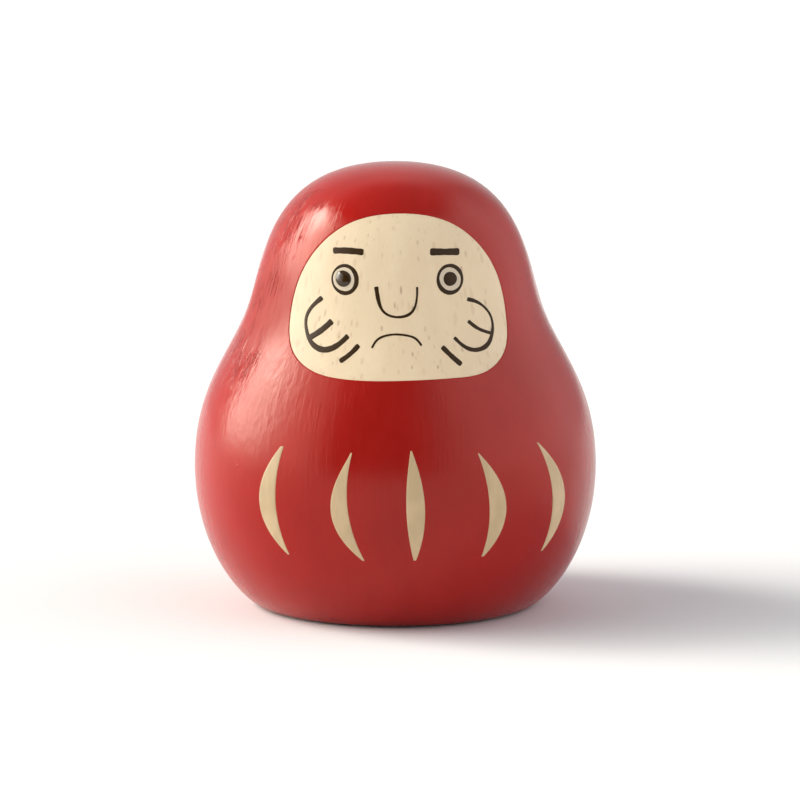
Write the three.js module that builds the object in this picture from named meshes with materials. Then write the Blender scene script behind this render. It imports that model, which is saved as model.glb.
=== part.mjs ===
// A turned wooden daruma doll: a pear-shaped body of one piece of wood, bored out from
// below for an iron slug that rights the doll when it is pushed over, a wooden plug that
// closes the bore, and a felt pad let into the foot.
// Millimetres, +Z up, face towards -Y, origin on the axis at the underside of the pad.

import * as THREE from 'three';

// The body, with heights measured from the foot ring that the lathe leaves.
const BODY_HEIGHT = 75;
const FOOT_RADIUS = 24;
const BELLY = { radius: 34.2, height: 23.4 };
const NECK = { radius: 25, height: 50.6 };

// The felt pad, let into a recess so that only a sliver of it stands proud.
const PAD_RADIUS = 21.7;
const PAD_THICKNESS = 1.2;
const PAD_PROUD = 0.3;

// The bore, with the slug at its top and the plug below.
const BORE_RADIUS = 20.3;
const SLUG_RADIUS = 20;
const SLUG_HEIGHT = 13;
const SLUG_CHAMFER = 1;
const PLUG_RADIUS = 20;
const PLUG_THICKNESS = 3;
const PLUG_CHAMFER = 0.5;

const GLUE_LINE = 0.1;      // between faces that are glued flat
const SIDE_GAP = 0.3;       // round a disc in its hole

const TURN_STEPS = 64;      // flats round the axis
const CURVE_STEPS = 13;     // steps along each curve of the outline

// Heights above the surface that the doll stands on.
const footZ = PAD_PROUD;
const recessZ = PAD_THICKNESS + GLUE_LINE;
const plugTopZ = recessZ + PLUG_THICKNESS;
const slugZ = plugTopZ + GLUE_LINE;
const slugTopZ = slugZ + SLUG_HEIGHT;
const boreTopZ = slugTopZ + GLUE_LINE;

const lacquer = new THREE.MeshStandardMaterial({ color: 0x9c2019, roughness: 0.35, metalness: 0 });
const bareWood = new THREE.MeshStandardMaterial({ color: 0xe2c8a0, roughness: 0.6, metalness: 0 });
const iron = new THREE.MeshStandardMaterial({ color: 0x4b4a48, roughness: 0.6, metalness: 0.9 });
const felt = new THREE.MeshStandardMaterial({ color: 0x5c1512, roughness: 1, metalness: 0 });

// Turns an outline of [radius, height] points round the Z axis into a closed solid.
function turned(name, outline, material) {
  const points = outline.map(([radius, height]) => new THREE.Vector2(radius, height));
  const geometry = new THREE.LatheGeometry(points, TURN_STEPS);
  geometry.rotateX(Math.PI / 2);
  const mesh = new THREE.Mesh(geometry, material);
  mesh.name = name;
  return mesh;
}

// The outside of the body from the foot ring to the crown: a full low belly, a hollow
// at the neck and a round head, in three curves that share their tangents.
function bodyOutline() {
  const outline = new THREE.Path();
  outline.moveTo(FOOT_RADIUS, 0);
  outline.bezierCurveTo(
    FOOT_RADIUS + 3.8, 2.1,
    BELLY.radius, BELLY.height - 12.8,
    BELLY.radius, BELLY.height);
  outline.bezierCurveTo(
    BELLY.radius, BELLY.height + 13.8,
    NECK.radius + 2.8, NECK.height - 7.9,
    NECK.radius, NECK.height);
  outline.bezierCurveTo(
    NECK.radius - 2.9, NECK.height + 8.1,
    21.7, BODY_HEIGHT,
    0, BODY_HEIGHT);
  return outline.getPoints(CURVE_STEPS).map(({ x, y }) => [x, footZ + y]);
}

// One piece of wood, with a stepped bore that is open at the foot.
function makeBody() {
  const recessRadius = PAD_RADIUS + SIDE_GAP;
  return turned('turned_body', [
    [0, boreTopZ],
    [BORE_RADIUS, boreTopZ],
    [BORE_RADIUS, recessZ],
    [recessRadius, recessZ],
    [recessRadius, footZ],
    ...bodyOutline(),
  ], lacquer);
}

function makeSlug() {
  const faceRadius = SLUG_RADIUS - SLUG_CHAMFER;
  return turned('ballast_slug', [
    [0, slugZ],
    [faceRadius, slugZ],
    [SLUG_RADIUS, slugZ + SLUG_CHAMFER],
    [SLUG_RADIUS, slugTopZ - SLUG_CHAMFER],
    [faceRadius, slugTopZ],
    [0, slugTopZ],
  ], iron);
}

// The plug's upper edge is chamfered, to start it in the bore.
function makePlug() {
  return turned('base_plug', [
    [0, recessZ],
    [PLUG_RADIUS, recessZ],
    [PLUG_RADIUS, plugTopZ - PLUG_CHAMFER],
    [PLUG_RADIUS - PLUG_CHAMFER, plugTopZ],
    [0, plugTopZ],
  ], bareWood);
}

function makePad() {
  return turned('felt_pad', [
    [0, 0],
    [PAD_RADIUS, 0],
    [PAD_RADIUS, PAD_THICKNESS],
    [0, PAD_THICKNESS],
  ], felt);
}

const daruma = new THREE.Group();
daruma.add(makeBody(), makeSlug(), makePlug(), makePad());

export default daruma;
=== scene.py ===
"""A turned wooden daruma doll: bare wood under a red coat, with painted marks, on a pale floor."""
import math

import bpy
import numpy as np
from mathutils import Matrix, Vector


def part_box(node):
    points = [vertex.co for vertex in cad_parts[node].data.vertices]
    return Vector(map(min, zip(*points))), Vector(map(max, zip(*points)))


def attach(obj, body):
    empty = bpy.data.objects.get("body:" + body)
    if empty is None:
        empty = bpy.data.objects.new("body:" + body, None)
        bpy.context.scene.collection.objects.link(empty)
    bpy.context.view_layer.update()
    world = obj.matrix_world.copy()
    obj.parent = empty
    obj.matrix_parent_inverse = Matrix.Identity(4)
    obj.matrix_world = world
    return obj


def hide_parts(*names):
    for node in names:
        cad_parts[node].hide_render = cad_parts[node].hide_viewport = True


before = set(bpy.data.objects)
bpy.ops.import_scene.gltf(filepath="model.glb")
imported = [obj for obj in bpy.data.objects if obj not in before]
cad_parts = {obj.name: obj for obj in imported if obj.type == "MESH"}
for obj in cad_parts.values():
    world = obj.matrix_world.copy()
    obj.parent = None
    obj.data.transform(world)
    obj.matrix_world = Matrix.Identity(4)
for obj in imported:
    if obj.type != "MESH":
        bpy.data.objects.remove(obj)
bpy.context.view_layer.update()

MM = 0.001
TAU = 2 * math.pi

# The camera: a long lens, a little above the doll.
CAMERA_DISTANCE = 600 * MM
CAMERA_ELEVATION = math.radians(8)
CAMERA_AIM = (0.8 * MM, -0.4 * MM, 34.7 * MM)
LENS_MM = 158.6
SENSOR_MM = 36
CLIP = (0.01, 100)              # nearest and furthest, in metres

# Mesh fineness.
COLUMNS = 192                   # steps round the doll
ROW_STEP = 0.9 * MM             # steps up the outline
ROUNDING_STEPS = 11             # steps round the foot's edge
EDGE_STEPS = 720                # steps round the edge of the face
DROP_STEPS = 48                 # steps round a drop of paint

# Paint. Lifts are measured outwards from the CAD body's surface, which is the coat's outside.
COAT = 0.08 * MM                # thickness of the red coat
COAT_SINK = 0.05 * MM           # how far the coat's inside reaches into the wood
FOOT_LAP = 1.1 * MM             # how far the coat laps under the foot
FOOT_ROUND = 0.5 * MM           # softening of the foot's edge
FILM_SINK = 0.03 * MM           # how far a painted mark's underside reaches down


# ---------------------------------------------------------------- curves

def spline(points, at, closed=False):
    """Points on the cubic spline through the given points, at fractions of its length.

    Only the first two numbers of a point are its place; a third, such as a width, goes with it.
    """
    points = np.asarray(points, float)
    wrap = 4
    if closed:
        points = np.vstack([points[-wrap:], points, points[:wrap + 1]])
    gaps = np.linalg.norm(np.diff(points[:, :2], axis=0), axis=1)
    knots = np.concatenate([[0], np.cumsum(gaps)])
    size = len(points)
    system = np.eye(size)
    right = np.zeros_like(points)
    for i in range(1, size - 1):
        before, after = gaps[i - 1], gaps[i]
        system[i, i - 1:i + 2] = before, 2 * (before + after), after
        right[i] = 6 * ((points[i + 1] - points[i]) / after - (points[i] - points[i - 1]) / before)
    bend = np.linalg.solve(system, right)

    start, end = (knots[wrap], knots[-wrap - 1]) if closed else (0, knots[-1])
    place = start + np.asarray(at) * (end - start)
    i = np.clip(np.searchsorted(knots, place, side="right") - 1, 0, size - 2)
    gap = gaps[i][:, None]
    t = (place - knots[i])[:, None] / gap
    return ((1 - t) * points[i] + t * points[i + 1]
            + gap ** 2 / 6 * (((1 - t) ** 3 - (1 - t)) * bend[i] + (t ** 3 - t) * bend[i + 1]))


def turned_outline(node):
    """The outside of a turned CAD node, foot ring to crown, as evenly spaced (radius, height)."""
    corners = np.array([v.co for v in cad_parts[node].data.vertices])
    radii = np.hypot(corners[:, 0], corners[:, 1])
    heights = np.round(corners[:, 2], 6)
    levels = np.unique(heights)
    widest = np.array([radii[heights == level].max() for level in levels])
    # A level narrower than both its neighbours belongs to the bore, not to the outside.
    last = len(levels) - 1
    outside = [k for k in range(last + 1)
               if k in (0, last) or widest[k] > min(widest[k - 1], widest[k + 1])]
    half = np.column_stack([widest, levels])[outside]
    half[-1, 0] = 0
    mirrored = (half * (-1, 1))[-2::-1]
    samples = 1000
    half = spline(np.vstack([half, mirrored]), np.linspace(0, 0.5, samples + 1))
    half[-1, 0] = 0
    return half


def lapped(outline):
    """The outline, begun under the foot and softened at the foot's edge."""
    corner = outline[0]
    steps = np.hypot(*np.diff(outline, axis=0).T)
    beyond = outline[np.cumsum(steps).searchsorted(FOOT_ROUND) + 1:]
    inner = corner - (FOOT_LAP, 0)
    before = corner - (FOOT_ROUND, 0)
    t = np.linspace(0, 1, ROUNDING_STEPS + 1)[:-1, None]
    rounding = (1 - t) ** 2 * before + 2 * t * (1 - t) * corner + t ** 2 * beyond[0]
    return np.vstack([inner, rounding, beyond])


class Body:
    """The doll's outer surface, with places on it given by azimuth and by height or arc length."""

    def __init__(self, outline):
        self.r, self.z = outline.T
        self.s = np.concatenate([[0], np.cumsum(np.hypot(np.diff(self.r), np.diff(self.z)))])
        along = np.gradient(outline, self.s, axis=0)
        along /= np.linalg.norm(along, axis=1)[:, None]
        along[-1] = -1, 0
        self.out_r, self.out_z = along[:, 1], -along[:, 0]

    def arc(self, height):
        return np.interp(height, self.z, self.s)

    def radius(self, height):
        return np.interp(height, self.z, self.r)

    def at(self, azimuth, arc, lift=0.0):
        """Points at those places, lifted off the surface. Azimuth 0 faces -Y."""
        radius = np.interp(arc, self.s, self.r) + lift * np.interp(arc, self.s, self.out_r)
        height = np.interp(arc, self.s, self.z) + lift * np.interp(arc, self.s, self.out_z)
        return np.stack(np.broadcast_arrays(
            radius * np.sin(azimuth), -radius * np.cos(azimuth), height), axis=-1)

    def outline(self, arcs, lift):
        """(radius, height) at those arc lengths, lifted."""
        there = self.at(math.pi / 2, arcs, lift)
        return there[:, [0, 2]]


body = Body(lapped(turned_outline("turned_body")))


def turned_to(x, height):
    """Azimuth of a place that lies x to the right of the middle, seen from the front."""
    return np.arcsin(x / body.radius(height))


# ---------------------------------------------------------------- meshes

def make_piece(name, points, faces, material):
    """A smooth mesh object that rides with the doll."""
    mesh = bpy.data.meshes.new(name)
    mesh.from_pydata(np.asarray(points).tolist(), [], [list(map(int, face)) for face in faces])
    mesh.validate()
    mesh.shade_smooth()
    mesh.materials.append(material)
    piece = bpy.data.objects.new(name, mesh)
    bpy.context.scene.collection.objects.link(piece)
    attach(piece, "root")
    return piece


def quads(grid):
    """The faces between neighbouring rows and columns of an array of vertex numbers."""
    a, b, c, d = grid[:-1, :-1], grid[:-1, 1:], grid[1:, 1:], grid[1:, :-1]
    return np.stack([a.ravel(), b.ravel(), c.ravel(), d.ravel()], axis=1).tolist()


def shell(outer, inner, faces, rim):
    """A closed shell between two copies of a sheet that share the vertices of its rim."""
    number = np.cumsum(~rim) - 1 + len(outer)
    partner = np.where(rim, np.arange(len(outer)), number)
    points = np.vstack([outer, inner[~rim]])
    return points, faces + [[partner[k] for k in reversed(face)] for face in faces]


def turn(outline):
    """A closed solid turned from an outline that starts and ends on the axis."""
    outline = np.asarray(outline, float)
    angle = np.arange(COLUMNS) * TAU / COLUMNS
    middle = outline[1:-1]
    rings = np.stack([
        np.outer(middle[:, 0], np.sin(angle)),
        np.outer(middle[:, 0], -np.cos(angle)),
        np.repeat(middle[:, 1:], COLUMNS, axis=1)], axis=-1)
    points = np.vstack([rings.reshape(-1, 3), [0, 0, outline[0, 1]], [0, 0, outline[-1, 1]]])
    grid = np.arange(len(middle) * COLUMNS).reshape(len(middle), COLUMNS)
    grid = np.hstack([grid, grid[:, :1]])
    first = len(points) - 2
    last = len(points) - 1
    faces = quads(grid)
    faces += [(grid[0, j + 1], grid[0, j], first) for j in range(COLUMNS)]
    faces += [(grid[-1, j], grid[-1, j + 1], last) for j in range(COLUMNS)]
    return points, faces


def film(name, azimuth, height, thickness, base, material, closed=False):
    """A film of paint: rows by columns of places on the body, and how thick it is at each."""
    rows, columns = thickness.shape
    rim = np.zeros((rows, columns), bool)
    rim[:, [0, -1]] = True
    if not closed:
        rim[[0, -1]] = True
    thickness = np.where(rim, -FILM_SINK, thickness)
    arc = body.arc(height)
    outer = body.at(azimuth, arc, base + thickness).reshape(-1, 3)
    inner = body.at(azimuth, arc, base - FILM_SINK + 0 * thickness).reshape(-1, 3)
    grid = np.arange(rows * columns).reshape(rows, columns)
    if closed:
        grid = np.vstack([grid, grid[:1]])
    points, faces = shell(outer, inner, quads(grid), rim.ravel())
    make_piece(name, points, faces, material)


# ---------------------------------------------------------------- shader nodes

class Nodes:
    """Short calls for the nodes of one tree."""

    def __init__(self, tree):
        self.tree = tree

    def node(self, kind, inputs=None, **settings):
        made = self.tree.nodes.new("ShaderNode" + kind)
        for key, value in settings.items():
            setattr(made, key, value)
        for socket, value in (inputs or {}).items():
            self.feed(made.inputs[socket], value)
        return made

    def feed(self, socket, value):
        if isinstance(value, bpy.types.NodeSocket):
            self.tree.links.new(value, socket)
        else:
            socket.default_value = value

    def math(self, operation, *values):
        return self.node("Math", dict(enumerate(values)), operation=operation).outputs[0]

    def vector(self, operation, *values, output="Vector", **named):
        """Vector maths on the values, with any further inputs by their sockets' names."""
        inputs = dict(enumerate(values)) | named
        return self.node("VectorMath", inputs, operation=operation).outputs[output]

    def ramp(self, value, low, high, to_low=0.0, to_high=1.0):
        """value eased from low..high to to_low..to_high, and held at the ends."""
        return self.node("MapRange", {"Value": value, "From Min": low, "From Max": high,
                                      "To Min": to_low, "To Max": to_high},
                         interpolation_type="SMOOTHSTEP").outputs[0]


class Shader(Nodes):
    """A principled material, and calls for the patterns that feed it. Lengths are in mm."""

    def __init__(self, name, **constants):
        self.material = bpy.data.materials.new(name)
        self.material.use_nodes = True
        super().__init__(self.material.node_tree)
        self.surface = self.tree.nodes["Principled BSDF"]
        for socket, value in constants.items():
            self.set(socket.replace("_", " "), value)
        self.place = self.node("TexCoord").outputs["Object"]

    def set(self, socket, value):
        self.feed(self.surface.inputs[socket], value)

    def stretched(self, across, along, shift=0.0):
        """Coordinates in which a feature is about 1 wide: across mm in X and Y, along mm in Z."""
        scale = (1 / (across * MM), 1 / (across * MM), 1 / (along * MM))
        return self.node("Mapping", {"Vector": self.place, "Location": (shift, shift, shift),
                                     "Scale": scale}).outputs[0]

    def noise_at(self, where, detail):
        return self.node("TexNoise", {"Vector": where, "Scale": 1.0, "Detail": detail}).outputs["Fac"]

    def noise(self, across, along=None, detail=2.0, shift=0.0):
        return self.noise_at(self.stretched(across, along or across, shift), detail)

    def swept_noise(self, across, along, detail=2.0, girth=25.0):
        """Noise in streaks that run up the outline to the crown; across holds girth mm out."""
        ring = self.vector("NORMALIZE", self.vector("MULTIPLY", self.place, (1, 1, 0)))
        wide = self.vector("SCALE", ring, Scale=girth / across)
        tall = self.vector("MULTIPLY", self.place, (0, 0, 1 / (along * MM)))
        return self.noise_at(self.vector("ADD", wide, tall), detail)

    def blob(self, middle, half):
        """1 in the middle of an ellipsoid, 0 from its surface outwards."""
        apart = self.vector("SUBTRACT", self.place, tuple(v * MM for v in middle))
        apart = self.vector("DIVIDE", apart, tuple(v * MM for v in half))
        distance = self.vector("LENGTH", apart, output="Value")
        return self.ramp(distance, 0.3, 1.0, 1.0, 0.0)

    def blobs(self, patches):
        """The strongest of several blobs, given as (middle, half-sizes)."""
        strongest = 0.0
        for middle, half in patches:
            strongest = self.math("MAXIMUM", strongest, self.blob(middle, half))
        return strongest

    def spots(self, across, along, size, missing=0.0, shift=0.0):
        """Soft spots of that size, as a fraction of their spacing, with that share of them missing."""
        where = self.stretched(across, along, shift)
        cells = self.node("TexVoronoi", {"Vector": where, "Scale": 1.0})
        mask = self.ramp(cells.outputs["Distance"], size * 0.45, size, 1.0, 0.0)
        chance = self.node("SeparateColor", {"Color": cells.outputs["Color"]}).outputs[0]
        return self.math("MULTIPLY", mask, self.ramp(chance, missing, 1.0))

    def mix(self, share, first, second):
        blend = self.node("Mix", data_type="RGBA")
        for socket, value in ((0, share), (6, first), (7, second)):
            self.feed(blend.inputs[socket], value)
        return blend.outputs[2]

    def bump(self, *layers):
        """Relief from (height, depth in mm) layers, one over the other."""
        normal = None
        for height, depth in layers:
            relief = self.node("Bump", {"Height": height, "Distance": depth * MM, "Strength": 1.0})
            if normal is not None:
                self.feed(relief.inputs["Normal"], normal)
            normal = relief.outputs[0]
        self.set("Normal", normal)


def colour(red, green, blue):
    return (red, green, blue, 1.0)


# ---------------------------------------------------------------- materials

# On the lacquer, (middle, half-sizes) in mm: where the grain stands up through it, where it sank in
# and dried dull, with its red darkened there as painted shade, and where the wood under it was worked
# unevenly.
RAISED_GRAIN = [((-16, -9, 65), (8, 8, 12)), ((-22, -10, 54), (7, 9, 8)), ((-25, -12, 44), (8, 9, 9))]
DULL_AND_SHADED_PATCHES = [((-21, -12, 53), (13, 13, 12))]
WORKED_PATCHES = [((-20, -18, 38), (15, 15, 16))]
# Heights on the lacquer: the darker red of the foot, which is painted shade, turns to the usual one,
# that one to the lighter red of the head, which is painted light from above; the satin of the belly turns
# to gloss, and the relief dies away at the crown.
SHADED_FOOT_TO_USUAL = (18 * MM, 34 * MM)
USUAL_TO_LIT_HEAD = (42 * MM, 62 * MM)
SATIN_TO_GLOSS = (30 * MM, 56 * MM)
CROWN = (69 * MM, 73.5 * MM)


def lacquer_relief(m, height):
    """Hammering, raised grain and nibs in the lacquer."""
    off_crown = m.ramp(height, *CROWN, 1.0, 0.0)
    worked = m.math("MULTIPLY", m.ramp(m.blobs(WORKED_PATCHES), 0.0, 1.0, 0.1, 1.0), off_crown)
    hammered = m.math("MULTIPLY", m.swept_noise(1.0, 1.8, detail=1.0), worked)
    raised = m.math("MULTIPLY", m.ramp(m.blobs(RAISED_GRAIN), 0.0, 1.0, 0.05, 1.0), off_crown)
    tufts = m.ramp(m.noise(3.0, 6.0, detail=1.0, shift=5.0), 0.42, 0.58, 0.2, 1.0)
    strokes = m.ramp(m.swept_noise(0.5, 5.5, detail=3.5), 0.47, 0.60)
    grain = m.math("MULTIPLY", strokes, m.math("MULTIPLY", raised, tufts))
    nibs = m.spots(3.2, 3.2, 0.09, missing=0.4)
    m.bump((hammered, 0.09), (grain, 0.19), (nibs, 0.08))


def lacquer_colour(m, height):
    """Reds that drift in wide clouds: darker at the foot as painted shade, usual at the belly, lighter at
    the head as painted light from above.
    """
    drift = m.ramp(m.noise(9.0, 16.0, detail=2.0, shift=3.0), 0.35, 0.65)
    # The foot's darker, purer red is painted shade; the head's lighter red is painted light from above.
    shaded_foot = m.mix(drift, colour(0.320, 0.0038, 0.0028), colour(0.350, 0.0054, 0.0038))
    usual = m.mix(drift, colour(0.335, 0.0108, 0.0080), colour(0.360, 0.0130, 0.0098))
    lit_head = m.mix(drift, colour(0.355, 0.0072, 0.0048), colour(0.390, 0.0095, 0.0062))
    lower = m.mix(m.ramp(height, *SHADED_FOOT_TO_USUAL), shaded_foot, usual)
    return m.mix(m.ramp(height, *USUAL_TO_LIT_HEAD), lower, lit_head)


def make_lacquer():
    """Red lacquer brushed over turned wood, with a dull patch whose darker red is painted shade, raised
    grain and nibs.
    """
    m = Shader("red_lacquer", IOR=1.42, Specular_IOR_Level=0.50, Specular_Tint=colour(1, 0.83, 0.73))
    height = m.node("SeparateXYZ", {0: m.place}).outputs["Z"]
    dull_and_shaded = m.blobs(DULL_AND_SHADED_PATCHES)
    # The dull patch also darkens the red: painted shade on the left of the neck.
    m.set("Base Color", m.mix(dull_and_shaded, lacquer_colour(m, height), colour(0.305, 0.0092, 0.0058)))
    gloss = m.ramp(m.noise(1.2, 8.0, detail=3.0, shift=7.0), 0.3, 0.7, 0.11, 0.17)
    satin = m.ramp(height, *SATIN_TO_GLOSS, 0.09, 0.0)
    m.set("Roughness", m.math("MULTIPLY_ADD", dull_and_shaded, 0.40, m.math("ADD", gloss, satin)))
    lacquer_relief(m, height)
    return m.material


def make_bare_wood():
    """Pale close-grained wood: soft upright grain and short tan pores."""
    m = Shader("bare_wood", Diffuse_Roughness=1.0, IOR=1.45, Specular_IOR_Level=0.4)
    bands = m.noise(3.2, 40.0, detail=1.5)
    fibres = m.noise(0.35, 7.0, detail=2.0, shift=2.0)
    gathered = m.ramp(m.noise(6.0, 14.0, detail=1.0, shift=6.0), 0.40, 0.56, 0.25, 1.0)
    pores = m.math("MULTIPLY", m.spots(1.0, 8.5, 0.27, shift=4.0), gathered)
    faint = m.spots(1.3, 12.0, 0.34, missing=0.1, shift=9.0)
    ground = m.mix(m.ramp(bands, 0.25, 0.75), colour(0.90, 0.76, 0.55), colour(0.93, 0.80, 0.59))
    ground = m.mix(m.ramp(fibres, 0.35, 0.75, 0.0, 0.25), ground, colour(0.86, 0.69, 0.48))
    ground = m.mix(m.math("MULTIPLY", faint, 0.42), ground, colour(0.72, 0.53, 0.33))
    m.set("Base Color", m.mix(m.math("MULTIPLY", pores, 0.55), ground, colour(0.46, 0.29, 0.16)))
    m.set("Roughness", m.ramp(fibres, 0.3, 0.7, 0.45, 0.55))
    m.bump((fibres, 0.006), (m.math("SUBTRACT", 1.0, pores), 0.02))
    return m.material


def make_black_paint(name, specular, smooth, rough):
    """Brushed black paint with brown in it."""
    m = Shader(name, IOR=1.45, Specular_IOR_Level=specular)
    patches = m.noise(0.8, 1.6, detail=3.0)
    m.set("Base Color", m.mix(patches, colour(0.030, 0.015, 0.004), colour(0.043, 0.022, 0.007)))
    m.set("Roughness", m.ramp(patches, 0.3, 0.7, smooth, rough))
    m.bump((m.noise(0.25, 0.6, detail=3.0), 0.006))
    return m.material


def make_beige_paint():
    """Satin beige paint, brushed on in upright strokes."""
    m = Shader("beige_paint", Diffuse_Roughness=1.0, IOR=1.45, Specular_IOR_Level=0.4)
    brush = m.noise(0.4, 6.0, detail=3.0)
    patches = m.noise(2.5, 5.0, detail=2.0, shift=1.0)
    ground = m.mix(m.ramp(patches, 0.35, 0.65), colour(0.665, 0.515, 0.31), colour(0.735, 0.575, 0.36))
    m.set("Base Color", m.mix(m.ramp(brush, 0.4, 0.7, 0.0, 0.3), ground, colour(0.62, 0.47, 0.27)))
    m.set("Roughness", m.ramp(brush, 0.3, 0.7, 0.38, 0.48))
    m.bump((brush, 0.006))
    return m.material


def make_cream_paint():
    """A greyish wash of little thickness under the eyes."""
    m = Shader("cream_paint", Diffuse_Roughness=0.5, IOR=1.45, Specular_IOR_Level=0.3, Roughness=0.5)
    m.set("Base Color", m.mix(m.noise(0.7, 1.5), colour(0.68, 0.58, 0.44), colour(0.76, 0.66, 0.52)))
    return m.material


def make_iron():
    """Turned grey iron, without shine, with rust beginning in its pores."""
    m = Shader("iron", Metallic=0.9)
    rust = m.noise(2.0, 2.0, detail=4.0)
    m.set("Base Color", m.mix(m.ramp(rust, 0.5, 0.75), colour(0.10, 0.10, 0.10), colour(0.16, 0.07, 0.03)))
    m.set("Roughness", m.ramp(rust, 0.4, 0.7, 0.4, 0.75))
    m.bump((m.noise(0.3, 0.3, detail=4.0), 0.02))
    return m.material


def make_felt():
    """Pressed wool felt, dark red, with loose fibres on its face."""
    m = Shader("felt", Roughness=0.95, Sheen_Weight=0.35, Sheen_Roughness=0.5)
    fibres = m.noise(0.18, 0.18, detail=5.0)
    clumps = m.noise(1.5, 1.5, detail=2.0, shift=2.0)
    ground = m.mix(m.ramp(clumps, 0.35, 0.65), colour(0.085, 0.010, 0.009), colour(0.13, 0.014, 0.012))
    m.set("Base Color", m.mix(m.ramp(fibres, 0.45, 0.75, 0.0, 0.6), ground, colour(0.24, 0.05, 0.04)))
    m.bump((fibres, 0.12))
    return m.material


lacquer = make_lacquer()
bare_wood = make_bare_wood()
black_paint = make_black_paint("black_paint", specular=0.19, smooth=0.30, rough=0.42)
black_gloss = make_black_paint("black_gloss", specular=0.60, smooth=0.07, rough=0.11)
beige_paint = make_beige_paint()
cream_paint = make_cream_paint()


# ---------------------------------------------------------------- the wood

def outline_arcs():
    """Arc lengths of the rows, close together round the foot's edge."""
    round_start = FOOT_LAP - FOOT_ROUND
    round_end = FOOT_LAP + FOOT_ROUND
    top = body.s[-1]
    lap_steps = 2
    round_steps = 6
    rows = int((top - round_end) / ROW_STEP)
    return np.concatenate([
        np.linspace(0, round_start, lap_steps + 1)[:-1],
        np.linspace(round_start, round_end, round_steps + 1)[:-1],
        np.linspace(round_end, top, rows)])


ARCS = outline_arcs()


def make_wood():
    """The turned body, just inside the coat, with its bore and the pad's recess."""
    lowest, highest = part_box("turned_body")
    plug_low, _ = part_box("base_plug")
    _, slug_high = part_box("ballast_slug")
    pad_low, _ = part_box("felt_pad")
    side_gap = 0.3 * MM
    chamfer = 0.15 * MM
    bore = -plug_low.x + side_gap
    recess = -pad_low.x + side_gap
    foot = lowest.z
    ceiling = plug_low.z
    outside = body.outline(ARCS, -COAT)
    outside[:, 1] = np.maximum(outside[:, 1], foot)
    outside = outside[outside[:, 0] > 0]
    outline = [(0, slug_high.z), (bore, slug_high.z), (bore, ceiling), (recess, ceiling),
               (recess, foot + chamfer), (recess + chamfer, foot)]
    points, faces = turn(np.vstack([outline, outside, [0, highest.z - COAT]]))
    wood = make_piece("turned_wood", points, faces, bare_wood)
    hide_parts("turned_body")


# ---------------------------------------------------------------- the red coat

# The edge of the face, as (right of the middle, height) in mm, anticlockwise from the top.
FACE_EDGE = [(0.74, 68.1), (-8.26, 66.1), (-14.46, 60.05), (-17.26, 51.4), (-16.46, 45.3), (-13.86, 43.2),
             (-9.06, 42.1), (1.34, 41.95), (10.44, 42.2), (15.24, 43.05), (17.74, 45.3), (18.34, 50.8),
             (16.44, 58.8), (9.84, 66.1)]
FACE_MIDDLE = (0.3, 54.0)
# The coat's edge round the face: (distance from the edge, lift) in mm, a soft raised bead.
COAT_EDGE = [(0, -0.10), (0.03, -0.04), (0.09, -0.008), (0.18, 0.008), (0.35, 0.008),
             (0.7, 0.002), (1.4, 0)]
PATCH_HEIGHTS = (37.5, 71.3)    # mm: the part of the coat's grid that is rebuilt round the face
PATCH_AZIMUTH = 60              # degrees, to each side
RING_SHARES = (0.15, 0.35, 0.55, 0.78)  # where rings lie between the bead and the patch's border


def opening_reach(direction, middle, scale):
    """How far the face's edge lies from its middle in those directions, on the unrolled surface."""
    edge = spline(np.array(FACE_EDGE) * MM, np.arange(EDGE_STEPS) / EDGE_STEPS, closed=True)
    azimuth = turned_to(edge[:, 0], edge[:, 1])
    edge = np.column_stack([azimuth * scale, body.arc(edge[:, 1])]) - middle
    return np.interp(direction, np.arctan2(edge[:, 1], edge[:, 0]), np.hypot(*edge.T), period=TAU)


def opening_rings(border_azimuth, border_arc):
    """Azimuth, arc length and lift of the rings from the opening's edge towards the border.

    On its way out, each vertex of a ring keeps its border vertex's direction from the middle.
    """
    middle_x, middle_z = (v * MM for v in FACE_MIDDLE)
    scale = body.radius(middle_z)
    middle = np.array([middle_x, body.arc(middle_z)])
    border = np.column_stack([border_azimuth * scale, border_arc]) - middle
    direction = np.arctan2(border[:, 1], border[:, 0])
    reach = opening_reach(direction, middle, scale)
    spare = np.hypot(*border.T) - reach
    bead = COAT_EDGE[-1][0] * MM
    distances = [reach + distance * MM for distance, _ in COAT_EDGE]
    distances += [reach + bead + share * (spare - bead) for share in RING_SHARES]
    lifts = [lift * MM for _, lift in COAT_EDGE] + [0.0] * len(RING_SHARES)
    azimuth = np.array([(middle[0] + distance * np.cos(direction)) / scale for distance in distances])
    arc = np.array([middle[1] + distance * np.sin(direction) for distance in distances])
    lift = np.repeat(np.array(lifts)[:, None], direction.size, axis=1)
    return azimuth, arc, lift


def without_loose(faces, *arrays):
    """The faces, renumbered over the vertices that they use, and the arrays cut down to those."""
    used = np.zeros(len(arrays[0]), bool)
    used[np.concatenate([np.ravel(face) for face in faces])] = True
    renumber = np.cumsum(used) - 1
    faces = [[renumber[k] for k in face] for face in faces]
    return faces, *(array[used] for array in arrays)


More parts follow.
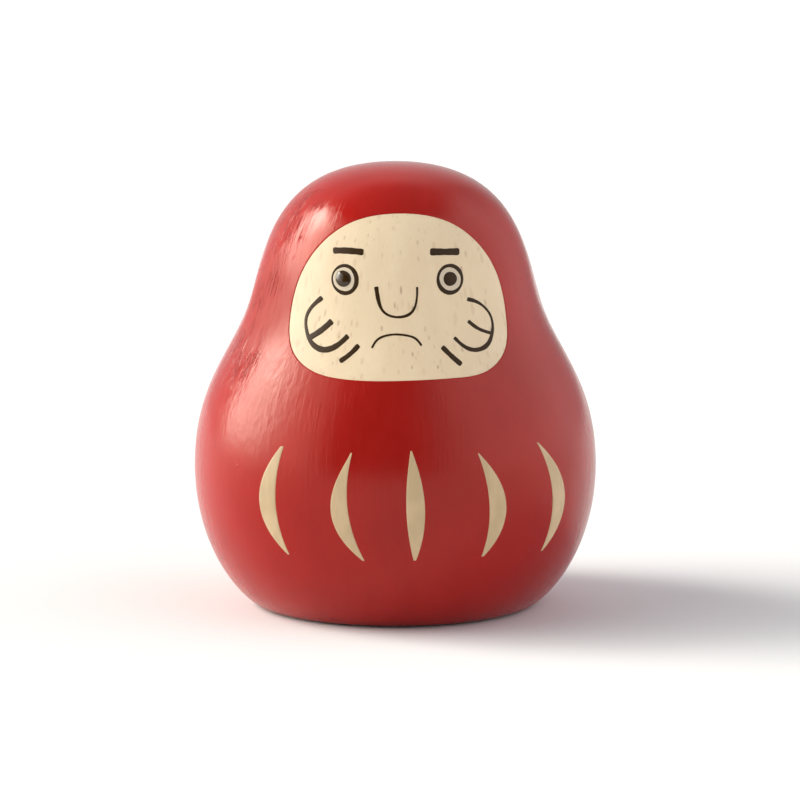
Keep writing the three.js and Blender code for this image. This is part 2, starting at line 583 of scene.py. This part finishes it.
def make_coat():
    """The red coat, open over the face. Its grid is a turned one, with rings round the opening."""
    rows = len(ARCS) - 1
    middle_column = COLUMNS // 2
    side = round(PATCH_AZIMUTH / 360 * COLUMNS)
    left, right = middle_column - side, middle_column + side
    low, high = (np.abs(ARCS - body.arc(height * MM)).argmin() for height in PATCH_HEIGHTS)

    # The turned grid up to the crown, without the patch round the face.
    grid = np.arange(rows * COLUMNS).reshape(rows, COLUMNS)
    azimuth = np.tile((np.arange(COLUMNS) - middle_column) * TAU / COLUMNS, rows)
    arc = np.repeat(ARCS[:-1], COLUMNS)
    crown = grid.size
    wrapped = np.hstack([grid, grid[:, :1]])
    inside = np.zeros((rows - 1, COLUMNS), bool)
    inside[low:high, left:right] = True
    faces = [face for face, skip in zip(quads(wrapped), inside.ravel()) if not skip]
    faces += [(wrapped[-1, j], wrapped[-1, j + 1], crown) for j in range(COLUMNS)]

    # The rings that join the patch's border to the edge of the face.
    patch = grid[low:high + 1, left:right + 1]
    border = np.concatenate([patch[0, :-1], patch[:-1, -1], patch[-1, :0:-1], patch[:0:-1, 0]])
    ring_azimuth, ring_arc, ring_lift = opening_rings(azimuth[border], arc[border])
    rings = crown + 1 + np.arange(ring_arc.size).reshape(ring_arc.shape)
    around = np.vstack([rings, border])
    faces += quads(np.hstack([around, around[:, :1]])[::-1])

    buried = -COAT - COAT_SINK
    lift = np.zeros(grid.shape)
    lift[0] = buried
    azimuth = np.concatenate([azimuth, [0.0], ring_azimuth.ravel()])
    arc = np.concatenate([arc, ARCS[-1:], ring_arc.ravel()])
    lift = np.concatenate([lift.ravel(), [0.0], ring_lift.ravel()])
    rim = np.zeros(arc.size, bool)
    rim[grid[0]] = True
    rim[rings[0]] = True
    faces, azimuth, arc, lift, rim = without_loose(faces, azimuth, arc, lift, rim)
    outer = body.at(azimuth, arc, lift)
    inner = body.at(azimuth, arc, np.full(arc.size, buried))
    points, faces = shell(outer, inner, faces, rim)
    make_piece("red_coat", points, faces, lacquer)


make_wood()
make_coat()


# ---------------------------------------------------------------- painted marks

# Across a stroke: place from edge to edge, and share of the paint's full thickness there.
ACROSS = np.array([-1, -0.92, -0.65, 0, 0.65, 0.92, 1])
BUILD = np.array([0, 0.7, 0.95, 1, 0.95, 0.7, 0])
INK = 0.035 * MM                # thickness of the black paint
STROKE_STEP = 0.18 * MM
END_STEPS = np.array([0, 0.03, 0.08, 0.16]) * MM    # the closer steps at a stroke's ends
END_LENGTH = 0.3 * MM           # how far from its ends a stroke is softened, at most
END_LOSS = 0.45                 # share of its width that it has lost at its very ends
NEARBY = 1e-3                   # share of a stroke's length over which its direction is taken
WAVER = [(0.035, 2.1), (0.025, 4.7)]    # a hand's waver in width: share of it, and radians per mm


def places_along(length, closed):
    """Places along a stroke, as fractions of its length."""
    count = max(int(length / STROKE_STEP), 6)
    if closed:
        return np.arange(count) / count
    ends = END_STEPS / length
    inner = np.linspace(END_LENGTH / length, 1 - END_LENGTH / length, count)
    return np.concatenate([ends, inner, 1 - ends[::-1]])


def softened(half, from_end):
    """Half-widths of a stroke, narrowed at its ends so that their corners are soft."""
    corner = min(half.min() * 0.9, END_LENGTH)
    gone = np.clip(1 - from_end / corner, 0, 1)
    return half * (1 - END_LOSS * gone ** 2)


def stroke(name, points, closed=False):
    """A brush stroke through (right, height, width) points in mm, with square, soft-cornered ends."""
    points = np.array(points, float) * MM
    loop = np.vstack([points, points[:1]]) if closed else points
    length = np.hypot(*np.diff(loop[:, :2], axis=0).T).sum()
    at = places_along(length, closed)
    line = spline(points, at, closed)
    first, last = (-1, 2) if closed else (0, 1)
    ahead = spline(points, np.clip(at + NEARBY, first, last), closed)
    behind = spline(points, np.clip(at - NEARBY, first, last), closed)
    along = (ahead - behind)[:, :2]
    along /= np.linalg.norm(along, axis=1)[:, None]
    waver = 1
    for (share, pace), start in zip(WAVER, points[0] / MM):
        waver = waver + share * np.sin(pace * at * length / MM + start)
    half = line[:, 2] / 2 * waver
    if not closed:
        half = softened(half, np.minimum(at, 1 - at) * length)
    x = line[:, :1] - along[:, 1:] * half[:, None] * ACROSS
    height = line[:, 1:2] + along[:, :1] * half[:, None] * ACROSS
    thickness = np.tile(BUILD * INK, (len(at), 1))
    film(name, turned_to(x, height), height, thickness, -COAT, black_paint, closed)


# The face, as (right of the middle, height, width) in mm.
STROKES = {
    "brow_left": [(-10.25, 62.09, 1.05), (-7.6, 62.16, 1.05), (-5.15, 61.99, 1.1)],
    "brow_right": [(5.7, 62.04, 1.2), (8.1, 61.97, 1.1), (10.6, 61.89, 1.15)],
    "nose": [(-3.1, 56.59, 0.75), (-2.8, 54.74, 0.68), (-1.9, 52.62, 0.44), (0.5, 51.74, 0.42),
             (2.75, 52.54, 0.48), (3.5, 54.34, 0.36), (3.6, 56.54, 0.42)],
    "mouth": [(-3.8, 46.89, 0.36), (-2.9, 48.19, 0.38), (-1.5, 48.84, 0.36), (1.9, 48.87, 0.36),
              (3.3, 48.39, 0.38), (4.35, 47.24, 0.36)],
    "cheek_left": [(-11.95, 54.54, 0.85), (-13.5, 53.14, 0.65), (-14.6, 51.14, 0.55), (-14.5, 49.04, 0.6),
                   (-13.9, 47.59, 0.8), (-12.8, 46.64, 0.95), (-11.4, 46.39, 1.0),
                   (-9.9, 46.89, 0.9), (-7.65, 48.74, 0.85)],
    "cheek_left_upper": [(-10.3, 50.94, 1.05), (-12.2, 49.29, 0.95), (-14.1, 48.04, 0.95)],
    "cheek_left_lower": [(-5.9, 47.34, 0.85), (-7.3, 45.94, 0.78), (-9.05, 44.69, 0.8)],
    "cheek_right": [(11.8, 54.29, 0.72), (13.1, 53.89, 0.58), (14.6, 52.89, 0.4), (15.68, 51.44, 0.38),
                    (16.05, 49.94, 0.44), (15.88, 48.34, 0.62), (15.15, 46.94, 0.78),
                    (13.8, 46.3, 0.74), (12.5, 46.36, 0.66), (11.1, 47.06, 0.58), (9.65, 48.39, 0.55)],
    "cheek_right_upper": [(11.95, 50.84, 0.6), (13.65, 49.52, 0.55), (15.8, 48.64, 0.5)],
    "cheek_right_lower": [(7.65, 47.04, 0.82), (9.2, 45.54, 0.8), (10.85, 44.14, 0.82)],
}
# Each eye, in mm: the ring's middle, outer half-sizes, and line widths at its right, top, left and
# bottom, and how much wider it is along one diagonal; then the pupil's middle, half-sizes and rise.
EYES = {
    "left": dict(middle=(-8.2, 57.56), half=(2.27, 2.5), line=(0.78, 0.58, 0.28, 0.68), slant=0.03,
                 pupil=(-8.5, 57.7), pupil_half=(1.3, 1.36), dome=0.42, paint=black_gloss),
    "right": dict(middle=(9.0, 57.57), half=(2.23, 2.5), line=(0.48, 0.62, 0.54, 0.74), slant=0.1,
                  pupil=(9.03, 57.64), pupil_half=(1.14, 1.2), dome=0.1, paint=black_paint),
}
WASH_INSET = 0.25               # mm: how far the wash's edge lies inside the ring's outer edge
RING_POINTS = 12
# A drop's rings, as shares of the way out, how its dome falls off with that, and how far it is
# out of round: (share of its size, waves round it, where they start).
DROP_RINGS = np.array([0.15, 0.3, 0.45, 0.6, 0.74, 0.86, 0.95, 1.0])[:, None]
DOME_POWER = 2.4
OUT_OF_ROUND = [(0.02, 2, 0.7), (0.015, 3, -0.4)]


def eye_ring(name, middle, half, line, slant):
    """A closed stroke round an eye, of varying width."""
    right, top, left, bottom = line
    points = []
    for angle in np.arange(RING_POINTS) * TAU / RING_POINTS:
        x, z = math.cos(angle), math.sin(angle)
        width = (right if x > 0 else left) * x * x + (top if z > 0 else bottom) * z * z + slant * 2 * x * z
        points.append((middle[0] + (half[0] - width / 2) * x, middle[1] + (half[1] - width / 2) * z, width))
    stroke(name, points, closed=True)


def drop(name, middle, half, dome, paint):
    """A drop of paint, flat or domed, a little out of round."""
    angle = np.arange(DROP_STEPS) * TAU / DROP_STEPS
    wobble = 1
    for share, waves, start in OUT_OF_ROUND:
        wobble = wobble + share * np.cos(waves * angle + start)
    x = (middle[0] + DROP_RINGS * (half[0] * np.cos(angle) * wobble)) * MM
    height = (middle[1] + DROP_RINGS * (half[1] * np.sin(angle) * wobble)) * MM
    flat = INK * 0.5
    rise = dome * (1 - DROP_RINGS ** DOME_POWER) * MM + flat + 0 * x
    rise[-1] = -FILM_SINK
    grid = np.arange(x.size).reshape(x.shape)
    grid = np.hstack([grid, grid[:, :1]])
    centre = x.size
    faces = [(centre, grid[0, j], grid[0, j + 1]) for j in range(DROP_STEPS)]
    faces += quads(grid[::-1])
    rim = np.zeros(x.size + 1, bool)
    rim[grid[-1]] = True
    azimuth = np.append(turned_to(x, height), turned_to(middle[0] * MM, middle[1] * MM))
    arc = body.arc(np.append(height, middle[1] * MM))
    rise = np.append(rise, dome * MM + flat)
    outer = body.at(azimuth, arc, rise - COAT)
    inner = body.at(azimuth, arc, np.full(arc.size, -COAT - FILM_SINK))
    points, faces = shell(outer, inner, faces, rim)
    make_piece(name, points, faces, paint)


for name, points in STROKES.items():
    stroke(name, points)
for side, eye in EYES.items():
    eye_ring(f"eye_ring_{side}", eye["middle"], eye["half"], eye["line"], eye["slant"])
    wash_half = [half - WASH_INSET for half in eye["half"]]
    drop(f"eye_wash_{side}", eye["middle"], wash_half, 0.0, cream_paint)
    drop(f"pupil_{side}", eye["pupil"], eye["pupil_half"], eye["dome"], eye["paint"])

# The five marks on the belly, left to right: tips as (azimuth in degrees, height in mm), how far
# each edge bows to the right of the line between the tips, and the tips' widths, in mm; and the
# power that puts each bow's deepest point below halfway (1 is halfway).
BELLY_MARKS = [
    dict(top=(-33.2, 31.0), low=(-32.2, 13.0), edges=(-4.78, -1.2), tips=(0.6, 0.3), sag=(1.06, 1.08)),
    dict(top=(-12.1, 30.65), low=(-9.0, 12.8), edges=(-4.42, -1.42), tips=(0.3, 0.3), sag=(1.16, 1.02)),
    dict(top=(4.45, 31.05), low=(5.65, 12.9), edges=(-1.25, 1.88), tips=(0.25, 0.4), sag=(1.08, 1.06)),
    dict(top=(23.6, 30.3), low=(25.9, 13.0), edges=(1.1, 4.38), tips=(0.2, 0.4), sag=(1.0, 1.05)),
    dict(top=(44.0, 31.05), low=(48.1, 12.5), edges=(1.92, 5.52), tips=(0.25, 0.3), sag=(1.0, 1.04)),
]
BEIGE = 0.04 * MM               # thickness of the beige paint
# The rows of a mark, as shares of the way down, closer together at its tips.
MARK_ROWS = np.concatenate([[0, 0.003, 0.008], np.linspace(0.016, 0.984, 72), [0.992, 0.997, 1]])[:, None]


def belly_mark(name, top, low, edges, tips, sag):
    """A crescent of paint between two tips, each edge a bow of its own."""
    t = MARK_ROWS
    height = (top[1] + t * (low[1] - top[1])) * MM
    middle = np.radians(top[0] + t * (low[0] - top[0]))
    left, right = (edge * 4 * t ** lag * (1 - t ** lag) for edge, lag in zip(edges, sag))
    tip = (tips[0] + t * (tips[1] - tips[0])) / 2 * (1 - 4 * t * (1 - t))
    share = (ACROSS + 1) / 2
    aside = (left - tip) * (1 - share) + (right + tip) * share
    azimuth = middle + aside * MM / body.radius(height)
    height = np.broadcast_to(height, azimuth.shape)
    thickness = np.tile(BUILD * BEIGE, (t.size, 1))
    film(name, azimuth[::-1], height[::-1], thickness, 0.0, beige_paint)


for number, mark in enumerate(BELLY_MARKS, start=1):
    belly_mark(f"belly_mark_{number}", **mark)


# ---------------------------------------------------------------- under the foot and inside

def make_pad():
    """The felt pad, with soft edges."""
    low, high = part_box("felt_pad")
    radius = -low.x
    thickness = high.z
    soft = 0.3 * MM
    angles = np.linspace(0, math.pi / 2, 6)
    under = [(radius * share, 0) for share in (0, 0.3, 0.6, 0.85)]
    lower = [(radius - soft + soft * math.sin(a), soft - soft * math.cos(a)) for a in angles]
    upper = [(radius - soft + soft * math.cos(a), thickness - soft + soft * math.sin(a)) for a in angles]
    above = [(radius * share, thickness) for share in (0.85, 0.5, 0)]
    points, faces = turn(under + lower + upper + above)
    pad = make_piece("felt_disc", points, faces, make_felt())
    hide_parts("felt_pad")


make_pad()
for node, material in (("ballast_slug", make_iron()), ("base_plug", bare_wood)):
    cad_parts[node].data.materials.clear()
    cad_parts[node].data.materials.append(material)


# ---------------------------------------------------------------- stage

FLOOR_SIZE = 20.0
EXPOSURE = 1.08
# What surrounds the doll, as patches of light: middle azimuth, half its width and the softness of
# its sides; low elevation and its softness, high elevation and its softness (degrees); brightness; tint.
SURROUNDINGS = [
    ((0, 180, 1), (-90, 1, 91, 1), 0.24, (1, 1, 1)),                # the dim room
    ((-162, 46, 22), (-10, 2, 61, 12), 0.62, (1, 1, 1)),            # the wall behind
    ((82, 43, 32), (-30, 2, 57, 12), 1.40, (1, 0.975, 1)),          # the bright wall to the right
    ((0, 180, 1), (58, 14, 91, 1), 0.32, (1, 1, 1)),                # the ceiling
    ((-69, 20, 12), (-10, 2, 50, 8), 1.8, (1, 0.98, 0.93)),         # the lit wall beside the window
    ((-82, 10, 9), (12, 10, 48, 8), 2.6, (1, 0.97, 0.88)),          # and the window's frame
    ((-101, 18, 7), (2, 10, 46, 5), 4.6, (1, 0.97, 0.86)),          # the window
    ((-105, 9, 6), (5, 8, 46, 4), 3.6, (1, 0.97, 0.88)),            # its clearest pane
    ((-111, 14, 6), (28, 5, 47, 3), 5.0, (1, 0.97, 0.88)),          # the sky in it
    ((-105, 9, 5), (36, 4, 48, 2), 6.0, (1, 0.98, 0.92)),           # a cloud in the sky
]


def make_floor():
    """A wide sheet of pale paper."""
    half = FLOOR_SIZE / 2
    corners = [(-half, -half, 0), (half, -half, 0), (half, half, 0), (-half, half, 0)]
    mesh = bpy.data.meshes.new("floor")
    mesh.from_pydata(corners, [], [(0, 1, 2, 3)])
    m = Shader("floor_paper", Roughness=0.9)
    m.set("Base Color", m.mix(m.noise(40.0), colour(0.80, 0.81, 0.83), colour(0.82, 0.83, 0.85)))
    mesh.materials.append(m.material)
    floor = bpy.data.objects.new("floor", mesh)
    bpy.context.scene.collection.objects.link(floor)


def sine(degrees):
    return math.sin(math.radians(degrees))


def cosine(degrees):
    return math.cos(math.radians(degrees))


def between_sides(world, level, middle, half, soft):
    """1 between a patch's sides, 0 beyond them, for the level part of a direction."""
    if half == 180:
        return 1.0
    facing = (sine(middle), -cosine(middle), 0)
    aside = world.vector("DOT_PRODUCT", level, facing, output="Value")
    return world.ramp(aside, cosine(min(half + soft, 180)), cosine(max(half - soft, 0)))


def between_edges(world, rise, low, soft_low, high, soft_high):
    """1 between a patch's low and high edges, 0 beyond them, for the rise of a direction."""
    above = world.ramp(rise, sine(low - soft_low), sine(low + soft_low))
    if high > 90:
        return above
    below = world.ramp(rise, sine(high - soft_high), sine(min(high + soft_high, 90)), 1.0, 0.0)
    return world.math("MULTIPLY", above, below)


def make_surroundings():
    """A world of soft-edged patches of light."""
    studio = bpy.data.worlds.new("studio")
    studio.use_nodes = True
    world = Nodes(studio.node_tree)
    direction = world.node("TexCoord").outputs["Generated"]
    level = world.vector("NORMALIZE", world.vector("MULTIPLY", direction, (1, 1, 0)))
    rise = world.node("SeparateXYZ", {0: direction}).outputs["Z"]
    total = (0, 0, 0)
    for sides, edges, brightness, tint in SURROUNDINGS:
        inside = between_edges(world, rise, *edges)
        inside = world.math("MULTIPLY", inside, between_sides(world, level, *sides))
        amount = world.math("MULTIPLY", inside, brightness)
        total = world.vector("ADD", total, world.vector("SCALE", tint, Scale=amount))
    background = world.tree.nodes["Background"]
    world.feed(background.inputs["Color"], total)
    world.feed(background.inputs["Strength"], EXPOSURE)
    bpy.context.scene.world = studio


def make_camera():
    data = bpy.data.cameras.new("camera")
    data.lens = LENS_MM
    data.sensor_width = SENSOR_MM
    data.clip_start, data.clip_end = CLIP
    camera = bpy.data.objects.new("camera", data)
    away = (0, -math.cos(CAMERA_ELEVATION), math.sin(CAMERA_ELEVATION))
    camera.location = [aim + CAMERA_DISTANCE * step for aim, step in zip(CAMERA_AIM, away)]
    camera.rotation_euler = (math.pi / 2 - CAMERA_ELEVATION, 0, 0)
    bpy.context.scene.collection.objects.link(camera)
    bpy.context.scene.camera = camera


make_floor()
make_surroundings()
make_camera()
bpy.context.scene.view_settings.view_transform = "Standard"
